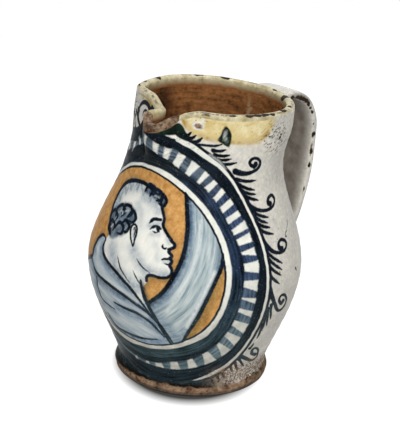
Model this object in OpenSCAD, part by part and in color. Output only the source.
// A thrown earthenware jug: a pear-shaped body on a flared foot, a pinched pouring lip,
// a pulled strap handle luted on opposite the lip, and the glaze coats fired over the clay.
// Millimetres, +Z up. The origin is the centre of the resting face.
// The pouring lip faces -Y and the handle +Y; angles are counted from the lip, toward +X.

/* [Thrown body] */
// Height of the rim above the table
height = 180; // [160:1:200]
// Radius of the resting face
base_r = 48; // [44:0.1:50]
// Largest radius of the flared foot
foot_r = 48.8; // [46:0.1:52]
// Outward slope of the foot as it leaves the table
foot_slope = 0.4; // [0.2:0.05:0.9]
// Height at which the foot is widest
foot_z = 3.6; // [2.5:0.1:6]
// Radius of the groove above the foot
groove_r = 45.7; // [43:0.1:48]
// Height of the groove above the foot
groove_z = 8.6; // [7:0.1:12]
// Outward slope of the wall as it leaves the groove
belly_slope = 0.32; // [0.2:0.01:0.5]
// Largest radius of the belly
belly_r = 66.6; // [60:0.1:72]
// Height at which the belly is widest
belly_z = 75; // [66:1:84]
// Smallest radius of the neck
neck_r = 47.3; // [42:0.1:50]
// Distance from the rim down to the narrowest place of the neck
neck_drop = 33; // [26:1:40]
// Radius of the upright collar under the rim
rim_r = 50.7; // [46:0.1:54]
// Height of the upright collar
collar_h = 10; // [8:0.5:14]
// Wall thickness near the foot
wall_low = 6.5; // [5:0.1:8]
// Wall thickness at the rim
wall_rim = 4.2; // [3.5:0.1:5.5]
// Thickness of the floor
floor_t = 8; // [6:0.5:10]
// Radius of the fillet between floor and wall
floor_fillet = 14; // [8:0.5:18]
// Clay below the foot that the wire takes off when the jug is cut from the wheel
wire_cut = 2; // [1:0.5:4]
// Rounding of the rim
rim_round = 1.4; // [0.8:0.1:1.8]

/* [Hand wobble] */
// Shift of the belly toward the lip
belly_shift = 2.5; // [0:0.1:4]
// Shift of the mouth toward the handle
mouth_shift = 3; // [0:0.1:5]
// Slope of the mouth, high at the lip and low at the handle, in degrees
mouth_tilt = 3; // [0:0.1:5]

/* [Pinched lip] */
// Height of wall that the pinch draws in
pinch_h = 42; // [30:1:55]
// Distance from the axis to the cheek left of the beak
left_d = 38; // [34:0.1:44]
// Distance from the axis to the cheek right of the beak
right_d = 42; // [34:0.1:44]
// Angle that the two flattened cheeks face, in degrees
cheek_a = 23.5; // [18:0.5:30]
// Distance that the sides of the mouth are drawn in
squeeze = 4.3; // [0:0.1:6]
// Angle up to which the sides are fully drawn in, in degrees
side_a = 60; // [50:1:75]
// Angle at which the mouth is as round as it was thrown, in degrees
side_b = 130; // [100:1:150]
// Half width of the beak on its left
beak_left = 7.4; // [6.5:0.1:9]
// Half width of the beak on its right
beak_right = 10.4; // [7:0.1:12]
// Distance from the axis to the tip of the beak
beak_tip = 54.9; // [50:0.1:60]
// Drop of the rim at the worn tip of the beak
tip_drop = 10; // [5:0.1:12]
// Drop of the rim at the two folds
fold_drop = 4.5; // [2:0.1:6]
// Angle up to which the beak's tip is evenly low, in degrees
tip_flat = 3; // [2:0.5:5]
// Angle over which the tip's drop fades on the left, in degrees
fade_left = 6; // [4:0.5:12]
// Angle over which the tip's drop fades on the right, in degrees
fade_right = 17; // [6:0.5:24]
// Angle up to which the folds are fully dropped, in degrees
fold_flat = 10; // [8:0.5:14]
// Angle over which the folds' drop fades, in degrees
fold_fade = 25; // [15:1:35]
// Rounding where cheek, side and beak meet
soft = 3; // [1:0.1:4]

/* [Strap handle] */
// Width of the strap
strap_w = 28; // [24:0.5:32]
// Thickness of the strap, glaze included
strap_t = 6; // [5:0.1:8]
// Distance from the rim down to the strap's middle where it leaves the collar
root_top_drop = 9.8; // [8:0.1:14]
// Distance from the belly's widest place down to the strap's lower end
root_low_drop = 14; // [4:1:22]
// Half height of the strap's pressed-on lower end
root_low_half = 6; // [4:0.1:8]
// Half width of the strap's pressed-on lower end
root_low_w = 15.5; // [13:0.1:18]
// Distance of the strap's middle line out from the belly's largest radius
reach_out = 26.4; // [20:0.1:34]
// Distance from the rim down to that outermost place
reach_drop = 38; // [30:1:50]
// Pull of the curve at the shoulder of the strap
shoulder_pull = 27; // [18:0.5:36]
// Pull of the curve above its outermost place
bend_up = 18; // [10:0.5:26]
// Pull of the curve below its outermost place
bend_down = 35; // [20:0.5:50]
// Pull of the curve at the lower end, out from the belly
tail_y = 22; // [8:0.5:28]
// Pull of the curve at the lower end, up from the root
tail_z = 18; // [8:0.5:26]
// Rise of the strap as it leaves the collar
spring_z = 5; // [0:0.5:10]

/* [Luting clay] */
// Spread of the upper lute above the strap
lute_up = 1.2; // [0.6:0.1:1.6]
// Spread of the lutes below the strap
lute_down = 5; // [3:0.1:7]
// Spread of the lutes beside the strap
lute_side = 4; // [2:0.1:6]
// Part of the strap's curve that the upper lute hugs
lute_top_u = 0.035; // [0.02:0.005:0.06]
// Part of the strap's curve that the lower lute hugs
lute_low_u = 0.93; // [0.9:0.005:0.96]
// How far the lute's slope is thumbed in
lute_hollow = 0.3; // [0.1:0.05:0.45]

/* [Glaze coats] */
// Thickness of a glaze coat
glaze_t = 0.6; // [0.4:0.1:0.9]
// Depth of the cream coat on the outside of the rim
lip_out = 2.6; // [2:0.1:3]
// Depth of the cream coat on the inside of the rim
lip_in = 6; // [4:0.5:10]

/* [Hidden] */
neck_z = height - neck_drop;
root_top_z = height - root_top_drop;
root_low_z = belly_z - root_low_drop;
reach_y = belly_r + reach_out;
reach_z = height - reach_drop;
turn = 360;
// The clay wall is drawn from these places: height, radius, slope of the wall above
knots = [
    [0, base_r, foot_slope],
    [foot_z, foot_r, 0],
    [groove_z, groove_r, belly_slope],
    [belly_z, belly_r, 0],
    [neck_z, neck_r, 0],
    [height - collar_h, rim_r, 0],
    [height - lip_out, rim_r, 0],
    [height - rim_round, rim_r, 0]
];
// Number of bands in each stretch between two of those places
bands = [2, 2, 4, 5, 3, 1, 1];
// Angles round the wall: closest together at the beak, wider round the rest
beak_zone = 20;
beak_step = 2;
cheek_zone = 60;
cheek_step = 5;
wide_step = 7.5;
angles = concat(
    [for (a = [-beak_zone : beak_step : beak_zone - beak_step]) a],
    [for (a = [beak_zone : cheek_step : cheek_zone - cheek_step]) a],
    [for (a = [cheek_zone : wide_step : turn - cheek_zone - wide_step]) a],
    [for (a = [turn - cheek_zone : cheek_step : turn - beak_zone - cheek_step]) a]
);
levels = concat(
    [for (i = [0 : len(bands) - 1]) for (k = [0 : bands[i] - 1])
        knots[i][0] + (knots[i + 1][0] - knots[i][0]) * k / bands[i]],
    [height - rim_round]
);
glaze_levels = [for (z = levels) if (z >= foot_z && z <= height - lip_out) z];
inside_z = floor_t + floor_fillet;
lining_bands = 9;
lining_levels = [for (k = [0 : lining_bands])
    inside_z + (height - lip_in - inside_z) * k / lining_bands];
fillet_bands = 3;
strap_bands = 18;
strap_half = 7;
half = strap_w / 2;

function ease(t) = let (c = min(1, max(0, t))) c * c * (3 - 2 * c);
function mix(a, b, t) = a + (b - a) * t;
function hermite(t, a, b, slope) =
    mix(a, b, t * t * (3 - 2 * t)) + slope * (t * t * t - 2 * t * t + t);

// Radius of the thrown wall at a height
function profile(z) =
    let (
        i = max([0, for (j = [0 : len(knots) - 2]) if (z >= knots[j][0]) j]),
        span = knots[i + 1][0] - knots[i][0],
        t = min(1, (z - knots[i][0]) / span)
    )
    hermite(t, knots[i][1], knots[i + 1][1], knots[i][2] * span);

// Sideways shift of the wall at a height, toward +Y
function shift(z) = z < belly_z
    ? -belly_shift * ease(z / belly_z)
    : mix(-belly_shift, mouth_shift, ease((z - belly_z) / (height - belly_z)));
function upper(z) = ease(2 * z / height - 1);
function pinched(z) = ease((z - height + pinch_h) / pinch_h);
function wall(z) = mix(wall_low, wall_rim, z / height);

// Plan of the pinched mouth: a round collar, two flattened cheeks and a blunt beak between them
function signed(a) = a > turn / 2 ? a - turn : a;
function soft_min(a, b) =
    let (h = max(0, soft - abs(a - b)) / soft)
    min(a, b) - h * h * soft / 4;
function mouth(a) =
    let (
        t = abs(a),
        w = a < 0 ? beak_left : beak_right,
        c = beak_tip - w,
        sides = rim_r - squeeze * ease((side_b - t) / (side_b - side_a)),
        cheek = (a < 0 ? left_d : right_d) / cos(min(80, abs(t - cheek_a))),
        blunt = c * cos(t) + sqrt(max(0, w * w - pow(c * sin(t), 2))),
        beak = t < atan(w / c) ? blunt : t < 2 * beak_zone ? w / sin(t) : 0
    )
    -soft_min(-beak, -soft_min(cheek, sides));
function drop(a) =
    fold_drop * (1 - ease((abs(a) - fold_flat) / fold_fade))
    + (tip_drop - fold_drop) * (1 - ease((abs(a) - tip_flat) / (a < 0 ? fade_left : fade_right)));

// A point of the wall in plan, and the same point moved out along the wall's own normal
function plan(a, z) =
    let (r = profile(z) + (mouth(signed(a)) - rim_r) * pinched(z))
    [r * sin(a), -r * cos(a)];
function across(a, z) =
    let (d = plan(a + 0.5, z) - plan(a - 0.5, z))
    [d[1], -d[0]] / norm(d);
function place(a, z, out, up) =
    let (
        p = plan(a, z) + out * across(a, z),
        y = p[1] + shift(z)
    )
    [p[0], y, z + up - drop(signed(a)) * pinched(z) - y * tan(mouth_tilt) * upper(z)];
function ring(z, out = 0, up = 0) = [for (a = angles) place(a, z, out, up)];

// The rounded rim and the hollow of the floor, with a coat of the given thickness
function rim_rings(coat) = [
    for (q = [0 : 30 : 180])
        ring(
            height - rim_round,
            -wall_rim / 2 + (wall_rim / 2 + coat) * cos(q),
            (rim_round + coat) * sin(q)
        )
];
function floor_rings(coat) = [
    for (k = [0 : fillet_bands])
        let (q = 90 * k / fillet_bands)
        ring(
            inside_z,
            -wall(inside_z) - coat - (floor_fillet - coat) * (1 - sin(q)),
            -(floor_fillet - coat) * cos(q)
        )
];
function lining_rings(coat) =
    [for (k = [1 : lining_bands]) ring(lining_levels[k], -wall(lining_levels[k]) - coat)];

function flip(list) = [for (i = [len(list) - 1 : -1 : 0]) list[i]];
function joined(list) = [for (part = list) for (p = part) p];
function middle(list) =
    let (n = len(list)) [for (k = [0 : 2]) [for (p = list) p[k]] * [for (p = list) 1 / n]];

// A closed skin over rings of equal count: capped at both ends, or joined end to end
module skin(rings, loop = false) {
    n = len(rings[0]);
    m = len(rings);
    last = loop ? m - 1 : m - 2;
    sides = [
        for (j = [0 : last]) for (i = [0 : n - 1])
            let (
                k = (i + 1) % n,
                a = j * n,
                b = ((j + 1) % m) * n
            )
            each [[a + i, b + i, b + k], [a + i, b + k, a + k]]
    ];
    ends = [
        for (i = [0 : n - 1])
            each [[n * m, i, (i + 1) % n], [n * m + 1, (m - 1) * n + (i + 1) % n, (m - 1) * n + i]]
    ];
    polyhedron(
        points = concat(joined(rings), loop ? [] : [middle(rings[0]), middle(rings[m - 1])]),
        faces = concat(sides, loop ? [] : ends)
    );
}

// The strap's middle line in the plane of the handle: two cubic curves that meet at the outermost place
function bezier(p, t) =
    pow(1 - t, 3) * p[0] + 3 * t * pow(1 - t, 2) * p[1] + 3 * t * t * (1 - t) * p[2] + pow(t, 3) * p[3];
function back_y(x, z, out = 0) =
    let (l = z + (rim_r + mouth_shift) * tan(mouth_tilt) * upper(z))
    shift(l) + sqrt(pow(profile(l) + out, 2) - x * x);
start = [back_y(0, root_top_z), root_top_z];
finish = [back_y(0, root_low_z), root_low_z];
outmost = [reach_y, reach_z];
upper_curve = [start, start + [shoulder_pull, spring_z], outmost + [0, bend_up], outmost];
lower_curve = [outmost, outmost - [0, bend_down], finish + [tail_y, tail_z], finish];
function strap_line(u) = u < 0.5 ? bezier(upper_curve, 2 * u) : bezier(lower_curve, 2 * u - 1);
function strap_way(u) = let (d = strap_line(u + 0.005) - strap_line(u - 0.005)) d / norm(d);

// A strap section: the outer face from side to side, then the inner face back again
function strap_x(i) = half * sin(90 * (2 * i / strap_half - 1));
function strap_edge(i) = pow(1 - 0.94 * pow(abs(2 * i / strap_half - 1), 3), 0.5);
function strap_ring(u, out) =
    let (
        c = strap_line(u),
        w = strap_way(u),
        wide = (half - glaze_t + out) / half
    )
    concat(
        [for (i = [0 : strap_half])
            let (h = (strap_t / 2 - glaze_t) * strap_edge(i) + out)
            [strap_x(i) * wide, c[0] - w[1] * h, c[1] + w[0] * h]],
        [for (i = [strap_half : -1 : 0])
            let (h = (strap_t / 2 - glaze_t) * strap_edge(i) + out)
            [strap_x(i) * wide, c[0] + w[1] * h, c[1] - w[0] * h]]
    );

// The strap's ends lie on the wall: the side that is up at the top root is down at the lower one
function root_ring(z, wide, above, below, out) = concat(
    [for (i = [0 : strap_half])
        let (x = strap_x(i) / half * wide, v = z + above * strap_edge(i)) [x, back_y(x, v, out), v]],
    [for (i = [strap_half : -1 : 0])
        let (x = strap_x(i) / half * wide, v = z - below * strap_edge(i)) [x, back_y(x, v, out), v]]
);
core = strap_t / 2 - glaze_t;
function top_root(grow, out) = root_ring(
    root_top_z,
    half - glaze_t + lute_side * grow,
    core + lute_up * grow,
    core + lute_down * grow,
    out
);
function low_root(grow, out) = root_ring(
    root_low_z,
    root_low_w + lute_side * grow,
    -root_low_half - lute_down * grow,
    -root_low_half - lute_down * grow,
    out
);
function strap_sections(out) = [
    for (k = [0 : strap_bands]) strap_ring(mix(lute_top_u, lute_low_u, k / strap_bands), out)
];

// A strap-like skin whose ends are closed by strips across the thickness, so that they follow the wall
module strap_skin(rings) {
    n = len(rings[0]);
    m = len(rings);
    sides = [
        for (j = [0 : m - 2]) for (i = [0 : n - 1])
            let (k = (i + 1) % n, a = j * n, b = a + n)
            each [[a + i, b + k, b + i], [a + i, a + k, b + k]]
    ];
    strips = [
        for (i = [0 : n / 2 - 2])
            let (o = n - 1 - i, f = (m - 1) * n)
            each [
                [i, o, i + 1],
                [i + 1, o, o - 1],
                [f + i, f + i + 1, f + o],
                [f + i + 1, f + o - 1, f + o]
            ]
    ];
    polyhedron(points = joined(rings), faces = concat(sides, strips));
}

// The hollow slope of a lute, between the wall and the strap
function hollow(foot_ring, strap_end, root) = [
    for (i = [0 : len(root) - 1])
        mix(mix(foot_ring[i], strap_end[i], 0.5), root[i], lute_hollow)
];

// The place that a lute leaves bare of the outer glaze
module lute_window(outline) {
    rotate([90, 0, 0])
        translate([0, 0, -2 * reach_y])
            linear_extrude(height = 2 * reach_y - belly_r / 2)
                polygon([for (p = outline) [p[0], p[2]]]);
}

module body() {
    color("#a5603f")
        difference() {
            skin(concat(
                [ring(0, 0, -wire_cut)],
                [for (z = levels) if (z > 0) ring(z)],
                rim_rings(0),
                flip(lining_rings(0)),
                flip(floor_rings(0))
            ));
            translate([0, 0, -2 * wire_cut])
                cylinder(r = 2 * foot_r, h = 2 * wire_cut);
        }
}

module handle() {
    color("#a8674a")
        strap_skin(concat([top_root(0, 0)], strap_sections(0), [low_root(0, 0)]));
}

module upper_lute() {
    end = strap_ring(lute_top_u, glaze_t);
    color("#b98a78")
        skin([
            top_root(0, 0),
            top_root(1, 0),
            top_root(1, glaze_t),
            hollow(top_root(1, glaze_t), end, top_root(0, 0)),
            end,
            strap_ring(lute_top_u, 0)
        ], loop = true);
}

module lower_lute() {
    end = strap_ring(lute_low_u, glaze_t);
    color("#b98a78")
        skin([
            low_root(0, 0),
            low_root(1, 0),
            low_root(1, glaze_t),
            hollow(low_root(1, glaze_t), end, low_root(0, 0)),
            end,
            strap_ring(lute_low_u, 0)
        ], loop = true);
}

module outer_glaze() {
    color("#d9d3d6")
        difference() {
            skin(concat(
                [for (z = glaze_levels) ring(z, glaze_t)],
                [for (z = flip(glaze_levels)) ring(z)]
            ), loop = true);
            lute_window(top_root(1, 0));
            lute_window(low_root(1, 0));
        }
}

module rim_glaze() {
    color("#d8c690")
        skin(concat(
            [ring(height - lip_out, glaze_t)],
            rim_rings(glaze_t),
            [ring(height - lip_in, -wall(height - lip_in) - glaze_t)],
            [ring(height - lip_in, -wall(height - lip_in))],
            flip(rim_rings(0)),
            [ring(height - lip_out)]
        ), loop = true);
}

module lining_glaze() {
    color("#8a5a2c")
        skin(concat(
            floor_rings(0),
            lining_rings(0),
            flip(lining_rings(glaze_t)),
            flip(floor_rings(glaze_t))
        ));
}

module handle_glaze() {
    color("#cfc8cd")
        skin(concat(strap_sections(glaze_t), flip(strap_sections(0))), loop = true);
}

body();
handle();
upper_lute();
lower_lute();
outer_glaze();
rim_glaze();
lining_glaze();
handle_glaze();
